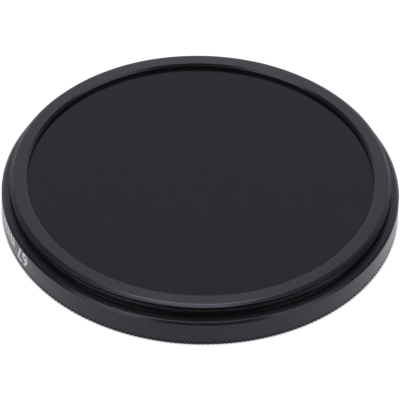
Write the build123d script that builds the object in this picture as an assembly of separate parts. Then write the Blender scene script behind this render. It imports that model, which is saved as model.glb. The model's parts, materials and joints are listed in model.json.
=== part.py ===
from build123d import *
import math
import os

# Screw-in neutral density lens filter: a turned frame, a dark glass disc and the threaded ring that clamps
# the glass. Millimetres. The filter lies on its front rim: +Z points to the rear, where the male thread
# screws into the lens, and the origin is the centre of the front rim.

# Filter thread: one size for the male thread at the rear and the female thread at the front
thread_diameter = 67.0
thread_pitch = 0.75
thread_angle = 60.0
relief_width = 0.6  # flat bottom of the groove where a thread runs out
relief_depth = 0.1  # how far that groove goes past the root of the thread
relief_undercut = 0.1  # how far the rear groove dips below the shoulder

# Neck: the rear tube that carries the male thread
neck_length = 2.65  # shoulder to rear face
neck_wall = 1.7  # crest of the male thread to the bore that holds the glass and its ring
neck_chamfer = 0.6  # radial width of the lead-in, which slopes as a thread flank does

# Lip at the rear that the glass seats against
lip_width = 1.35
lip_bevel = 0.43

# Grip band: the wide ring between the front rim and the shoulder
band_step = 1.5  # how far the band stands out past the male thread
band_chamfer = 0.45
seat_clearance = 0.1  # crest of the male thread to the flat of the shoulder, which seats on the lens

# Knurl: straight V grooves along the front edge of the band
knurl_pitch = 0.785
knurl_land = 0.34
knurl_angle = 90.0
knurl_height = 0.65
knurl_inset = 0.05  # how far the knurl lies below the wall of the band

# Front socket: takes the neck of another filter, a hood or a cap
socket_spare = 0.3  # room left past a neck that is screwed home
socket_chamfer = 0.6

# Glass
glass_thickness = 2.0
glass_recess = 1.0  # rear face of the frame to the glass
glass_clearance = 0.05
glass_bevel = 0.2

# Retaining ring: screws in from the front and clamps the glass
ring_height = 1.2
ring_width = 1.2
ring_setback = 0.3  # how far it sits behind the floor of the front socket
ring_clearance = 0.05
ring_chamfer = 0.3
notch_count = 2
notch_width = 2.0
notch_floor = 0.5  # height of the ring that is left behind a notch

# Heights, from the front rim to the rear face
socket_depth = neck_length + socket_spare
ring_front = socket_depth + ring_setback
glass_front = ring_front + ring_height
glass_rear = glass_front + glass_thickness
rear_face = glass_rear + glass_recess
shoulder = rear_face - neck_length

# Radii of the ISO thread form: the male root lies 17/24 and the female crest 5/8 of the sharp height in
thread_radius = thread_diameter / 2
thread_sharp_height = thread_pitch / 2 / math.tan(math.radians(thread_angle / 2))
male_root = thread_radius - thread_sharp_height * 17 / 24
female_crest = thread_radius - thread_sharp_height * 5 / 8
flank_slope = math.tan(math.radians(thread_angle / 2))
male_relief = male_root - relief_depth
female_relief = thread_radius + relief_depth

# Radii of the band, the bores and what sits in them
band_radius = thread_radius + band_step
glass_bore = thread_radius - neck_wall
glass_radius = glass_bore - glass_clearance
lip_radius = glass_bore - lip_width
ring_outer = glass_bore - ring_clearance
ring_inner = ring_outer - ring_width


def turned(section):
    """Solid of revolution about Z from the (radius, height) corners of a closed half section."""
    corners = [(radius, 0, height) for radius, height in section]
    return revolve(make_face(Polyline(*corners, close=True)), Axis.Z)


def polar(radius, angle):
    """Point in the XY plane at an angle in radians."""
    return radius * math.cos(angle), radius * math.sin(angle)


def knurl_cutter():
    """Toothed ring that cuts the V grooves into the front edge of the band."""
    count = round(2 * math.pi * band_radius / knurl_pitch)
    half_slope = math.tan(math.radians(knurl_angle / 2))
    depth = (knurl_pitch - knurl_land) / 2 / half_slope
    tip = band_radius - knurl_inset
    half_groove = depth * half_slope / tip
    outline = []
    for groove in range(count):
        middle = 2 * math.pi * groove / count
        outline.append(polar(tip, middle - half_groove))
        outline.append(polar(tip - depth, middle))
        outline.append(polar(tip, middle + half_groove))
    toothed = make_face(Polyline(*outline, close=True))
    return extrude(Circle(band_radius + depth) - toothed, knurl_height)


def filter_frame():
    """Frame turned from one ring: front rim, grip band, shoulder, neck, lip, bores and front socket."""
    male_run = (thread_radius - male_relief) * flank_slope
    female_run = (female_relief - female_crest) * flank_slope
    outside = [
        (female_crest + socket_chamfer, 0),
        (band_radius, 0),
        (band_radius, shoulder - band_chamfer),
        (band_radius - band_chamfer, shoulder),
        (thread_radius + seat_clearance, shoulder),
        (male_relief, shoulder - relief_undercut),
        (male_relief, shoulder + relief_width),
        (thread_radius, shoulder + relief_width + male_run),
        (thread_radius, rear_face - neck_chamfer * flank_slope),
        (thread_radius - neck_chamfer, rear_face),
    ]
    inside = [
        (lip_radius + lip_bevel, rear_face),
        (lip_radius, rear_face - lip_bevel),
        (lip_radius, glass_rear),
        (glass_bore, glass_rear),
        (glass_bore, socket_depth),
        (female_relief, socket_depth),
        (female_relief, socket_depth - relief_width),
        (female_crest, socket_depth - relief_width - female_run),
        (female_crest, socket_chamfer),
    ]
    return turned(outside + inside) - knurl_cutter()


def filter_glass():
    """Glass disc with ground edge bevels, seated against the lip."""
    return turned([
        (0, glass_front),
        (glass_radius - glass_bevel, glass_front),
        (glass_radius, glass_front + glass_bevel),
        (glass_radius, glass_rear - glass_bevel),
        (glass_radius - glass_bevel, glass_rear),
        (0, glass_rear),
    ])


def retaining_ring():
    """Clamp ring with spanner notches across its front face."""
    ring = turned([
        (ring_inner + ring_chamfer, ring_front),
        (ring_outer, ring_front),
        (ring_outer, glass_front),
        (ring_inner, glass_front),
        (ring_inner, ring_front + ring_chamfer),
    ])
    notch_depth = ring_height - notch_floor
    notch = Box(2 * ring_width, notch_width, 2 * notch_depth)
    for place in PolarLocations((ring_inner + ring_outer) / 2, notch_count):
        ring -= Pos(0, 0, ring_front) * place * notch
    return ring


os.makedirs("parts", exist_ok=True)
for make_piece in (filter_frame, filter_glass, retaining_ring):
    export_step(make_piece(), f"parts/{make_piece.__name__}.step")
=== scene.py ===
import json
import math

import bmesh
import bpy
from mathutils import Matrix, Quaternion, Vector


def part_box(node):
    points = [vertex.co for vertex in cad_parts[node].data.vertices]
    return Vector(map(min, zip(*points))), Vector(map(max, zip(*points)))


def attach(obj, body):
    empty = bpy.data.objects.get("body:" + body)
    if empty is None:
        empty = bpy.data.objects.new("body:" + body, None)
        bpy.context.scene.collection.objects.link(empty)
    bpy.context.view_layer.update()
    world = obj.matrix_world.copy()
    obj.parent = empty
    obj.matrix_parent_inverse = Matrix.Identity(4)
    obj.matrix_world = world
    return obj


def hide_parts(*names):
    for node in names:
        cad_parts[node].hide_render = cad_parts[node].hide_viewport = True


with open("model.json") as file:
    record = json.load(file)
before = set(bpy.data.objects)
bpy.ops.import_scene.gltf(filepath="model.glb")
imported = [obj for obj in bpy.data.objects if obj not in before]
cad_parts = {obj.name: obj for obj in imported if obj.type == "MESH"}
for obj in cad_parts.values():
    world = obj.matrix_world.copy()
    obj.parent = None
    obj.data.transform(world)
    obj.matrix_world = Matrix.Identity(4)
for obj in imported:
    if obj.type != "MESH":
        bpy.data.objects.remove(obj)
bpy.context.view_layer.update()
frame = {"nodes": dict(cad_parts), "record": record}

# Screw-in neutral density lens filter, lying on its front rim with the male thread up. Metres, in the frame
# of the CAD model. The filter's frame and its retaining ring are modelled again, with threads, knurl and
# softened edges.

mm = 0.001

# Sizes that the CAD model gives
mounts = {mount["name"]: mount for mount in frame["record"]["mounts"]}
frame_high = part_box("filter_frame")[1]
glass_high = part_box("filter_glass")[1]
ring_low, ring_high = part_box("retaining_ring")
band_radius = frame_high.x
rear_face = frame_high.z
shoulder = mounts["rear_shoulder"]["pos_m"][2]
thread_radius = mounts["rear_thread"]["dims"]["r_mm"] * mm
female_crest = mounts["front_thread"]["dims"]["r_mm"] * mm
glass_rear = glass_high.z

# Section of the frame
neck_wall = 1.7 * mm
neck_chamfer = 0.6 * mm
neck_round = 0.55 * mm
lead_in_slope = math.tan(math.radians(25))
lip_width = 1.35 * mm
lip_bevel = 0.43 * mm
lip_round = 0.5 * mm
band_chamfer = 0.4 * mm
band_round = 0.18 * mm
seat_clearance = 0.1 * mm
socket_depth = 2.95 * mm
socket_chamfer = 0.6 * mm
edge_round = 0.05 * mm
glass_bore = thread_radius - neck_wall
lip_radius = glass_bore - lip_width

# Threads: 60 degree form, male root 17/24 and female root 1/24 of the sharp height from the nominal size
thread_pitch = 0.75 * mm
thread_start = 0.77  # how far the threads are shifted along the axis, in pitches
thread_round = 0.02 * mm
flank_slope = math.tan(math.radians(30))
thread_sharp_height = thread_pitch / 2 / flank_slope
male_root = thread_radius - thread_sharp_height * 17 / 24
male_crest_flat = thread_pitch / 8
female_root = thread_radius + thread_sharp_height / 24
female_crest_flat = thread_pitch / 4

# Relief grooves at the inner ends of the threads
relief_width = 0.6 * mm
relief_run_out = 0.15 * mm  # added to the width of the male groove, above the shoulder
relief_depth = 0.1 * mm  # past the root of the thread
relief_undercut = 0.1 * mm  # how far the male groove dips below the shoulder
relief_round = 0.15 * mm
male_relief = male_root - relief_depth
male_relief_top = shoulder + relief_width + relief_run_out
female_relief = thread_radius + relief_depth
female_relief_low = socket_depth - relief_width

# Knurl along the front edge of the band: 90 degree V grooves between flat lands
knurl_pitch = 0.785 * mm
knurl_land = 0.42 * mm
knurl_height = 0.65 * mm
knurl_count = round(2 * math.pi * band_radius / knurl_pitch)
knurl_depth = (knurl_pitch - knurl_land) / 2

# Retaining ring with its spanner notches
ring_width = 1.2 * mm
ring_chamfer = 0.3 * mm
notch_count = 2
notch_width = 2.0 * mm
notch_floor = 0.5 * mm  # height of the ring that is left behind a notch

# Size marking on the wall of the band: the diameter of the thread
marking_text = "67 mm"
marking_height = 2.9 * mm
marking_base = 4.1 * mm
marking_start = math.radians(-147)
marking_weight = 0.02  # how much the strokes are thickened, in letter sizes
marking_thickness = 0.04 * mm

# Fineness of the meshes
segments = 2 * knurl_count
arc_steps = 3
band_arc_steps = 6
thread_arc_steps = 2
male_flank_steps = 6
female_flank_steps = 1
notch_steps = 8
land_steps = 180
merge_distance = 0.0001 * mm
smooth_limit = math.cos(math.radians(35))  # faces that turn by less are shaded as one surface

# Anodised finishes: darkest and lightest colour, mean roughness, and height of the turning marks
frame_colours = (0.0115, 0.0113, 0.0132), (0.0137, 0.0134, 0.0157)
frame_roughness = 0.27
frame_mark_height = 0.002 * mm
ring_colours = (0.008, 0.008, 0.009), (0.011, 0.011, 0.012)
ring_roughness = 0.5
ring_mark_height = 0.001 * mm
roughness_spread = 0.04
oxide_specular = 0.32
oxide_tint = (0.81, 0.78, 1.0)
oxide_anisotropy = 0.5
quarter_turn = 0.25
mark_spacing = 0.12 * mm
grain_size = 0.25 * mm
cloud_size = 6 * mm

# Glass and printing ink: darkest and lightest colour, and range of the roughness
glass_colours = (0.0048, 0.005, 0.0056), (0.0058, 0.006, 0.0067)
glass_roughness = 0.02, 0.035
glass_specular = 0.21
coating_tint = (0.715, 0.768, 0.96)
haze_size = 4 * mm
ink_colours = (0.62, 0.62, 0.64), (0.78, 0.78, 0.79)
ink_roughness = 0.45, 0.6
ink_grain = 0.15 * mm
noise_range = 0.3, 0.7  # values that a noise texture mostly has

# Camera, which has the photograph's viewing angle
camera_elevation = math.radians(41.92)
camera_roll = math.radians(1.43)
camera_distance = 531.7 * mm
camera_lens = 270.0
camera_aim = Vector((-0.02, 0, 1.39)) * mm

# Room: its colour from the camera's side, 0, to the far side, 1; white where it is seen directly
white = (1, 1, 1)
room_stops = [
    (0.45, (0.02, 0.02, 0.02)),
    (0.65, (0.14, 0.138, 0.15)),
    (0.73, (0.32, 0.315, 0.34)),
    (0.8, (0.69, 0.68, 0.74)),
    (0.86, (0.93, 0.92, 1.0)),
    (0.93, (0.9, 0.89, 0.97)),
]

# Floor: its own glow and the light that falls on it make a full white
floor_radius = 3.0
floor_sides = 96
floor_gap = 0.02 * mm
floor_glow = 0.97
floor_shade = (0.12, 0.12, 0.12)  # takes the shadow
floor_bounce = (0.8, 0.8, 0.8)  # lights the filter from below
floor_mirrored = (0.99, 0.972, 1.045)  # in gloss it is a little cool, as the room is
# The floor's glow is darkened within this reach of the filter: a painted contact shadow
painted_shade_reach = 0.4 * mm

# Lamps: name, azimuth and elevation in degrees, width and depth in metres, and radiance
lamp_distance = 0.8
lamps = [
    ("top_light", 179, 74, 0.33, 0.24, 8.7),
    ("overhead_light", 270, 83, 0.3, 0.5, 4.8),
    ("back_light", 180, 26, 1.1, 0.22, 1.4),
    ("left_light", -51, 43, 0.5, 0.22, 4.5),
    ("right_light", 66, 41, 0.55, 0.22, 3.6),
]


class Shell:
    """One closed surface, built from rings of points round the axis."""

    def __init__(self):
        self.points = []
        self.faces = []

    def point(self, radius, angle, height):
        """Adds a point and returns its number."""
        self.points.append((radius * math.cos(angle), radius * math.sin(angle), height))
        return len(self.points) - 1

    def circle(self, radius, height):
        """Adds a circle of points and returns their numbers."""
        return [self.point(radius, 2 * math.pi * step / segments, height) for step in range(segments)]

    def bridge(self, first, second):
        """Faces between two rings with the same number of points."""
        for step in range(len(first)):
            before = step - 1
            self.faces.append((first[before], first[step], second[step], second[before]))

    def fan_out(self, coarse, fine):
        """Faces between a ring and one with twice as many points."""
        for step in range(len(coarse)):
            before = step - 1
            start, middle, end = fine[2 * before], fine[2 * before + 1], fine[2 * step]
            self.faces.append((coarse[before], start, middle))
            self.faces.append((coarse[before], middle, coarse[step]))
            self.faces.append((coarse[step], middle, end))

    def turned(self, section):
        """Adds a run of (radius, height) points turned round the axis; returns its first and last circle."""
        circles = [self.circle(radius, height) for radius, height in section]
        for first, second in zip(circles, circles[1:]):
            self.bridge(first, second)
        return circles[0], circles[-1]

    def thread(self, profile, low_ring, low, high_ring, high, trim):
        """Adds a right-handed thread between two circles; trim fits it to the cones at its ends."""
        spare_turns = 2
        turns = math.ceil((high - low) / thread_pitch) + spare_turns
        rows = []
        for turn in range(turns):
            for radius, rise in profile:
                row = []
                for step in range(segments):
                    lift = turn - spare_turns + thread_start + step / segments
                    height = low + rise + lift * thread_pitch
                    if height <= low:
                        row.append(low_ring[step])
                    elif height >= high:
                        row.append(high_ring[step])
                    else:
                        angle = 2 * math.pi * step / segments
                        row.append(self.point(trim(radius, height), angle, height))
                rows.append(row)
        # A row that has gone round goes on one pitch higher; faces that collapse at an end are skipped
        count = len(profile)
        rows += [high_ring] * (count + 1)
        for index in range(len(rows) - count - 1):
            lower = rows[index] + [rows[index + count][0]]
            upper = rows[index + 1] + [rows[index + count + 1][0]]
            for step in range(segments):
                corners = (lower[step], lower[step + 1], upper[step + 1], upper[step])
                face = list(dict.fromkeys(corners))
                if len(face) > 2:
                    self.faces.append(face)

    def build(self, name, material):
        """Makes the object."""
        mesh = bpy.data.meshes.new(name)
        mesh.from_pydata(self.points, [], self.faces)
        return finished(name, mesh, material)


def finished(name, mesh, material):
    """Cleans a mesh, sets its shading and its material, and puts it into the scene on the CAD body."""
    surface = bmesh.new()
    surface.from_mesh(mesh)
    bmesh.ops.remove_doubles(surface, verts=surface.verts, dist=merge_distance)
    bmesh.ops.recalc_face_normals(surface, faces=surface.faces)
    surface.to_mesh(mesh)
    surface.free()
    mesh.shade_smooth()
    mesh.normals_split_custom_set(shading_normals(mesh))
    mesh.materials.append(material)
    piece = bpy.data.objects.new(name, mesh)
    bpy.context.scene.collection.objects.link(piece)
    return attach(piece, "root")


def shading_normals(mesh):
    """One normal per face corner; large faces count most, so that flat faces stay flat beside a rounding."""
    around = [[] for _ in mesh.vertices]
    for face in mesh.polygons:
        for vertex in face.vertices:
            around[vertex].append((face.normal.copy(), face.area))
    normals = []
    for face in mesh.polygons:
        for vertex in face.vertices:
            total = Vector()
            for normal, area in around[vertex]:
                if normal.dot(face.normal) > smooth_limit:
                    total += normal * area
            normals.append(total.normalized())
    return normals


def rounded(corners, steps=arc_steps):
    """Points of a section from (radius, height, rounding) corners; a rounding becomes an arc."""
    places = [Vector(corner[:2]) for corner in corners]
    points = []
    for index, place in enumerate(places):
        rounding = corners[index][2]
        if rounding == 0:
            points.append(place)
            continue
        back = (places[index - 1] - place).normalized()
        ahead = (places[(index + 1) % len(places)] - place).normalized()
        half_angle = back.angle(ahead) / 2
        centre = place + (back + ahead).normalized() * rounding / math.sin(half_angle)
        start = place + back * rounding / math.tan(half_angle) - centre
        end = place + ahead * rounding / math.tan(half_angle) - centre
        for step in range(steps + 1):
            points.append(centre + start.slerp(end, step / steps).normalized() * rounding)
    return points


def thread_profile(root, crest, crest_flat, flank_steps):
    """One pitch of a thread as (radius, height) points, from the middle of one root to the next."""
    run = abs(crest - root) * flank_slope
    half_root = (thread_pitch - crest_flat) / 2 - run
    rise = [(root, 0, 0), (root, half_root, thread_round)]
    for step in range(1, flank_steps):
        share = step / flank_steps
        rise.append((root + (crest - root) * share, half_root + run * share, 0))
    rise.append((crest, half_root + run, thread_round))
    fall = [(radius, thread_pitch - height, rounding) for radius, height, rounding in reversed(rise)]
    return rounded(rise + fall, thread_arc_steps)[:-1]


def male_trim(radius, height):
    """Radius of the male thread at a height, cut down by its groove's flank and the lead-in chamfer."""
    relief = male_relief + (height - male_relief_top) / flank_slope
    lead_in = thread_radius - neck_chamfer + (rear_face - height) / lead_in_slope
    return min(radius, relief, lead_in)


def female_trim(radius, height):
    """Radius of the female thread at a height, opened up by its groove's flank and the entry chamfer."""
    relief = female_relief - (female_relief_low - height) / flank_slope
    entry = female_crest + socket_chamfer - height
    return max(radius, relief, entry)


def knurl_ring(shell, height, inset):
    """Outline of the knurl at one height: for each tooth a V groove and a land."""
    half_tooth = math.pi / knurl_count
    half_groove = knurl_depth / band_radius
    ring = []
    for tooth in range(knurl_count):
        middle = 2 * half_tooth * tooth
        ring.append(shell.point(band_radius - knurl_depth - inset, middle, height))
        ring.append(shell.point(band_radius - inset, middle + half_groove, height))
        ring.append(shell.point(band_radius - inset, middle + half_tooth, height))
        ring.append(shell.point(band_radius - inset, middle + 2 * half_tooth - half_groove, height))
    return ring


def threaded_frame(material):
    """The turned frame: grip band with knurl, shoulder, male thread, lip, bores and female thread."""
    male_low = male_relief_top + relief_depth * flank_slope
    male_high = rear_face - (neck_chamfer - thread_radius + male_root) * lead_in_slope
    female_low = female_crest + socket_chamfer - female_root
    female_high = female_relief_low - (female_relief - female_root) * flank_slope
    rim_radius = female_crest + socket_chamfer
    shell = Shell()
    knurl_edge = knurl_ring(shell, 0, edge_round)
    knurl_low = knurl_ring(shell, edge_round, 0)
    knurl_high = knurl_ring(shell, knurl_height, 0)
    shell.bridge(knurl_edge, knurl_low)
    shell.bridge(knurl_low, knurl_high)
    band_start, band_end = shell.turned(rounded([
        (band_radius, knurl_height, 0),
        (band_radius, shoulder - band_chamfer, edge_round),
        (band_radius - band_chamfer, shoulder, band_round),
        (thread_radius + seat_clearance, shoulder, edge_round),
        (male_relief, shoulder - relief_undercut, relief_round),
        (male_relief, male_relief_top, 0),
        (male_root, male_low, 0),
    ], band_arc_steps))
    rear_start, rear_end = shell.turned(rounded([
        (male_root, male_high, 0),
        (thread_radius - neck_chamfer, rear_face, neck_round),
        (lip_radius + lip_bevel, rear_face, edge_round),
        (lip_radius, rear_face - lip_bevel, lip_round),
        (lip_radius, glass_rear, 0),
        (glass_bore, glass_rear, 0),
        (glass_bore, socket_depth, edge_round),
        (female_relief, socket_depth, 0),
        (female_relief, female_relief_low, 0),
        (female_root, female_high, 0),
    ]))
    rim_start, rim_end = shell.turned(rounded([
        (female_root, female_low, 0),
        (rim_radius, 0, edge_round),
        (rim_radius + 2 * edge_round, 0, 0),
    ]))
    shell.fan_out(band_start, knurl_high)
    shell.fan_out(rim_end, knurl_edge)
    male = thread_profile(male_root, thread_radius, male_crest_flat, male_flank_steps)
    shell.thread(male, band_end, male_low, rear_start, male_high, male_trim)
    female = thread_profile(female_root, female_crest, female_crest_flat, female_flank_steps)
    shell.thread(female, rim_start, female_low, rear_end, female_high, female_trim)
    piece = shell.build("threaded_frame", material)
    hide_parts("filter_frame")


def notched_ring(material):
    """The retaining ring, with spanner notches across its front face."""
    ring_outer = ring_high.x
    ring_inner = ring_outer - ring_width
    floor = ring_high.z - notch_floor
    half_notch = math.asin(notch_width / 2 / ring_outer)
    section = rounded([
        (ring_inner + ring_chamfer, ring_low.z, edge_round),
        (ring_outer, ring_low.z, edge_round),
        (ring_outer, ring_high.z, edge_round),
        (ring_inner, ring_high.z, edge_round),
        (ring_inner, ring_low.z + ring_chamfer, edge_round),
    ])
    sector = 2 * math.pi / notch_count
    shell = Shell()
    columns = []
    for notch in range(notch_count):
        middle = sector * notch
        for step in range(notch_steps + 1):
            angle = middle + half_notch * (2 * step / notch_steps - 1)
            columns.append([shell.point(radius, angle, max(height, floor)) for radius, height in section])
        for step in range(land_steps + 1):
            angle = middle + half_notch + (sector - 2 * half_notch) * step / land_steps
            columns.append([shell.point(radius, angle, height) for radius, height in section])
    for index in range(len(columns)):
        shell.bridge(columns[index - 1], columns[index])
    piece = shell.build("notched_ring", material)
    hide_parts("retaining_ring")


def size_marking(material):
    """Printed figures wrapped round the wall; they read upright with the front of the filter up."""
    curve = bpy.data.curves.new("figures", "FONT")
    curve.body = marking_text
    curve.offset = marking_weight
    curve.extrude = marking_weight
    flat = bpy.data.objects.new("figures", curve)
    bpy.context.scene.collection.objects.link(flat)
    bpy.context.view_layer.update()
    mesh = bpy.data.meshes.new_from_object(flat.evaluated_get(bpy.context.evaluated_depsgraph_get()))
    bpy.data.objects.remove(flat)
    scale = marking_height / max(vertex.co.y for vertex in mesh.vertices)
    for vertex in mesh.vertices:
        angle = marking_start - vertex.co.x * scale / band_radius
        radius = band_radius + math.copysign(marking_thickness / 2, vertex.co.z)
        height = marking_base - vertex.co.y * scale
        vertex.co = (radius * math.cos(angle), radius * math.sin(angle), height)
    finished("size_marking", mesh, material)


def new_material(name):
    """A material with its nodes, links and main shader."""
    material = bpy.data.materials.new(name)
    material.use_nodes = True
    tree = material.node_tree
    return material, tree.nodes, tree.links, tree.nodes["Principled BSDF"]


def noise(nodes, links, vector, size, detail):
    """A noise texture whose features have this size in metres."""
    texture = nodes.new("ShaderNodeTexNoise")
    texture.inputs["Scale"].default_value = 1 / size
    texture.inputs["Detail"].default_value = detail
    links.new(vector, texture.inputs["Vector"])
    return texture.outputs["Fac"]


def spread(nodes, links, value, low, high):
    """Maps a noise value to the range from low to high."""
    mapped = nodes.new("ShaderNodeMapRange")
    mapped.inputs["From Min"].default_value = noise_range[0]
    mapped.inputs["From Max"].default_value = noise_range[1]
    mapped.inputs["To Min"].default_value = low
    mapped.inputs["To Max"].default_value = high
    links.new(value, mapped.inputs["Value"])
    return mapped.outputs["Result"]


def coloured(nodes, links, value, stops):
    """Colour that a value gives by (position, colour) stops in rising order."""
    ramp = nodes.new("ShaderNodeValToRGB")
    elements = ramp.color_ramp.elements
    elements.remove(elements[1])
    for index, (position, colour) in enumerate(stops):
        element = elements.new(position) if index else elements[0]
        element.position = position
        element.color = (*colour, 1)
    links.new(value, ramp.inputs["Fac"])
    return ramp.outputs["Color"]


def tinted(nodes, links, value, colours):
    """Mixes two colours by a noise value."""
    return coloured(nodes, links, value, zip(noise_range, colours))


def round_the_axis(nodes, links, place):
    """Coordinates that run round the axis, as turning marks do: the radius and the height."""
    split = nodes.new("ShaderNodeSeparateXYZ")
    flat = nodes.new("ShaderNodeCombineXYZ")
    radius = nodes.new("ShaderNodeVectorMath")
    radius.operation = "LENGTH"
    joined = nodes.new("ShaderNodeCombineXYZ")
    links.new(place, split.inputs["Vector"])
    links.new(split.outputs["X"], flat.inputs["X"])
    links.new(split.outputs["Y"], flat.inputs["Y"])
    links.new(flat.outputs["Vector"], radius.inputs[0])
    links.new(radius.outputs["Value"], joined.inputs["X"])
    links.new(split.outputs["Z"], joined.inputs["Y"])
    return joined.outputs["Vector"]


def anodised(name, colours, roughness, mark_height):
    """Black anodised aluminium with fine turning marks and the grain of the oxide."""
    material, nodes, links, shader = new_material(name)
    place = nodes.new("ShaderNodeTexCoord").outputs["Object"]
    marks = noise(nodes, links, round_the_axis(nodes, links, place), mark_spacing, detail=2)
    grain = noise(nodes, links, place, grain_size, detail=3)
    cloud = noise(nodes, links, place, cloud_size, detail=2)
    bump = nodes.new("ShaderNodeBump")
    bump.inputs["Strength"].default_value = 1.0
    bump.inputs["Distance"].default_value = mark_height
    tangent = nodes.new("ShaderNodeTangent")
    tangent.direction_type = "RADIAL"
    tangent.axis = "Z"
    uneven = spread(nodes, links, grain, roughness - roughness_spread, roughness + roughness_spread)
    links.new(marks, bump.inputs["Height"])
    links.new(bump.outputs["Normal"], shader.inputs["Normal"])
    links.new(tangent.outputs["Tangent"], shader.inputs["Tangent"])
    links.new(tinted(nodes, links, cloud, colours), shader.inputs["Base Color"])
    links.new(uneven, shader.inputs["Roughness"])
    shader.inputs["Specular IOR Level"].default_value = oxide_specular
    shader.inputs["Specular Tint"].default_value = (*oxide_tint, 1)
    shader.inputs["Anisotropic"].default_value = oxide_anisotropy
    shader.inputs["Anisotropic Rotation"].default_value = quarter_turn
    return material


def dark_glass():
    """Polished neutral density glass: almost opaque, with a coating that reflects less and a little blue."""
    material, nodes, links, shader = new_material("dark_glass")
    place = nodes.new("ShaderNodeTexCoord").outputs["Object"]
    haze = noise(nodes, links, place, haze_size, detail=3)
    links.new(tinted(nodes, links, haze, glass_colours), shader.inputs["Base Color"])
    links.new(spread(nodes, links, haze, *glass_roughness), shader.inputs["Roughness"])
    shader.inputs["Specular IOR Level"].default_value = glass_specular
    shader.inputs["Specular Tint"].default_value = (*coating_tint, 1)
    return material


def marking_paint():
    """White printing ink, a little uneven."""
    material, nodes, links, shader = new_material("marking_paint")
    place = nodes.new("ShaderNodeTexCoord").outputs["Object"]
    ink = noise(nodes, links, place, ink_grain, detail=3)
    links.new(tinted(nodes, links, ink, ink_colours), shader.inputs["Base Color"])
    links.new(spread(nodes, links, ink, *ink_roughness), shader.inputs["Roughness"])
    return material


def toward(azimuth, elevation):
    """Unit vector to a place round the filter; azimuth 0 is the camera's side."""
    level = math.cos(elevation)
    return Vector((level * math.sin(azimuth), -level * math.cos(azimuth), math.sin(elevation)))


def background_rays(nodes, links):
    """Whether a ray sees the background directly or through glass, and whether it does so or in gloss."""
    path = nodes.new("ShaderNodeLightPath")
    seen = nodes.new("ShaderNodeMath")
    seen.operation = "MAXIMUM"
    shown = nodes.new("ShaderNodeMath")
    shown.operation = "MAXIMUM"
    links.new(path.outputs["Is Camera Ray"], seen.inputs[0])
    links.new(path.outputs["Is Transmission Ray"], seen.inputs[1])
    links.new(seen.outputs["Value"], shown.inputs[0])
    links.new(path.outputs["Is Glossy Ray"], shown.inputs[1])
    return seen.outputs["Value"], shown.outputs["Value"]


def mixed(nodes, links, factor, first, second):
    """Shader that goes from the first to the second as the factor goes from 0 to 1."""
    mix = nodes.new("ShaderNodeMixShader")
    links.new(factor, mix.inputs["Fac"])
    links.new(first, mix.inputs[1])
    links.new(second, mix.inputs[2])
    return mix.outputs["Shader"]


def studio_world():
    """Pale sweep behind the filter and a dim room on the camera's side; white where it is seen directly."""
    world = bpy.data.worlds.new("studio")
    bpy.context.scene.world = world
    world.use_nodes = True
    nodes = world.node_tree.nodes
    links = world.node_tree.links
    place = nodes.new("ShaderNodeTexCoord")
    facing = nodes.new("ShaderNodeVectorMath")
    facing.operation = "DOT_PRODUCT"
    facing.inputs[1].default_value = toward(math.pi, 0)
    across = nodes.new("ShaderNodeMapRange")
    across.inputs["From Min"].default_value = -1
    room = nodes["Background"]
    backdrop = nodes.new("ShaderNodeBackground")
    backdrop.inputs["Color"].default_value = (*white, 1)
    links.new(place.outputs["Generated"], facing.inputs[0])
    links.new(facing.outputs["Value"], across.inputs["Value"])
    links.new(coloured(nodes, links, across.outputs["Result"], room_stops), room.inputs["Color"])
    seen, _ = background_rays(nodes, links)
    surface = mixed(nodes, links, seen, room.outputs["Background"], backdrop.outputs["Background"])
    links.new(surface, nodes["World Output"].inputs["Surface"])


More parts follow.
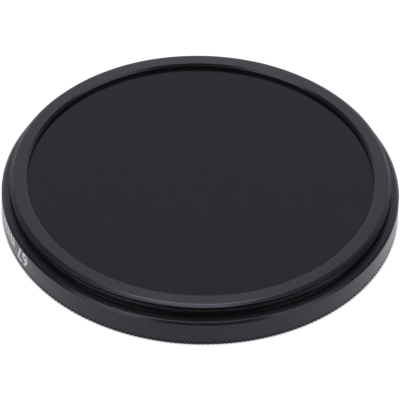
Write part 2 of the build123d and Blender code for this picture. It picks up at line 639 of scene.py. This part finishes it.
def floor_paint():
    """Reads white and keeps a faint shadow, partly real from the light that falls on it and partly painted
    shade where its glow is darkened close to the filter; from below it is clear.
    """
    material, nodes, links, shader = new_material("floor")
    nodes.remove(shader)
    seen, shown = background_rays(nodes, links)
    # Painted contact shadow: ambient occlusion darkens the floor's glow close to the filter
    painted_contact_shade = nodes.new("ShaderNodeAmbientOcclusion")
    painted_contact_shade.inputs["Distance"].default_value = painted_shade_reach
    glow = nodes.new("ShaderNodeEmission")
    glow.inputs["Strength"].default_value = floor_glow
    shade = nodes.new("ShaderNodeBsdfDiffuse")
    shade.inputs["Color"].default_value = (*floor_shade, 1)
    pale = nodes.new("ShaderNodeAddShader")
    bounce = nodes.new("ShaderNodeBsdfDiffuse")
    bounce.inputs["Color"].default_value = (*floor_bounce, 1)
    clear = nodes.new("ShaderNodeBsdfTransparent")
    side = nodes.new("ShaderNodeNewGeometry")
    mirrored = coloured(nodes, links, seen, [(0, floor_mirrored), (1, white)])
    links.new(mirrored, painted_contact_shade.inputs["Color"])
    links.new(painted_contact_shade.outputs["Color"], glow.inputs["Color"])
    links.new(glow.outputs["Emission"], pale.inputs[0])
    links.new(shade.outputs["BSDF"], pale.inputs[1])
    above = mixed(nodes, links, shown, bounce.outputs["BSDF"], pale.outputs["Shader"])
    surface = mixed(nodes, links, side.outputs["Backfacing"], above, clear.outputs["BSDF"])
    links.new(surface, nodes["Material Output"].inputs["Surface"])
    return material


def studio_floor():
    """Round floor that the filter lies on."""
    mesh = bpy.data.meshes.new("floor")
    disc = bmesh.new()
    bmesh.ops.create_circle(disc, cap_ends=True, radius=floor_radius, segments=floor_sides)
    disc.to_mesh(mesh)
    disc.free()
    mesh.materials.append(floor_paint())
    floor = bpy.data.objects.new("floor", mesh)
    floor.location.z = -floor_gap
    bpy.context.scene.collection.objects.link(floor)


def softbox(name, azimuth, elevation, width, depth, radiance):
    """Soft lamp that faces the filter."""
    light = bpy.data.lights.new(name, "AREA")
    light.shape = "RECTANGLE"
    light.size = width
    light.size_y = depth
    light.energy = radiance * math.pi * width * depth
    lamp = bpy.data.objects.new(name, light)
    place = toward(math.radians(azimuth), math.radians(elevation))
    lamp.location = place * lamp_distance
    lamp.rotation_euler = place.to_track_quat("Z", "Y").to_euler()
    lamp.visible_camera = False
    bpy.context.scene.collection.objects.link(lamp)


def photo_camera():
    """Camera at the photograph's angle and distance."""
    lens = bpy.data.cameras.new("camera")
    lens.lens = camera_lens
    camera = bpy.data.objects.new("camera", lens)
    camera.location = toward(0, camera_elevation) * camera_distance
    camera.rotation_mode = "QUATERNION"
    look = (camera_aim - camera.location).to_track_quat("-Z", "Y")
    camera.rotation_quaternion = look @ Quaternion((0, 0, 1), camera_roll)
    bpy.context.scene.collection.objects.link(camera)
    bpy.context.scene.camera = camera


# The filter
threaded_frame(anodised("black_anodised", frame_colours, frame_roughness, frame_mark_height))
notched_ring(anodised("ring_anodised", ring_colours, ring_roughness, ring_mark_height))
size_marking(marking_paint())
glass = frame["nodes"]["filter_glass"].data
glass.materials.clear()
glass.materials.append(dark_glass())

# The studio
studio_world()
studio_floor()
for lamp in lamps:
    softbox(*lamp)
photo_camera()
bpy.context.scene.view_settings.view_transform = "Standard"
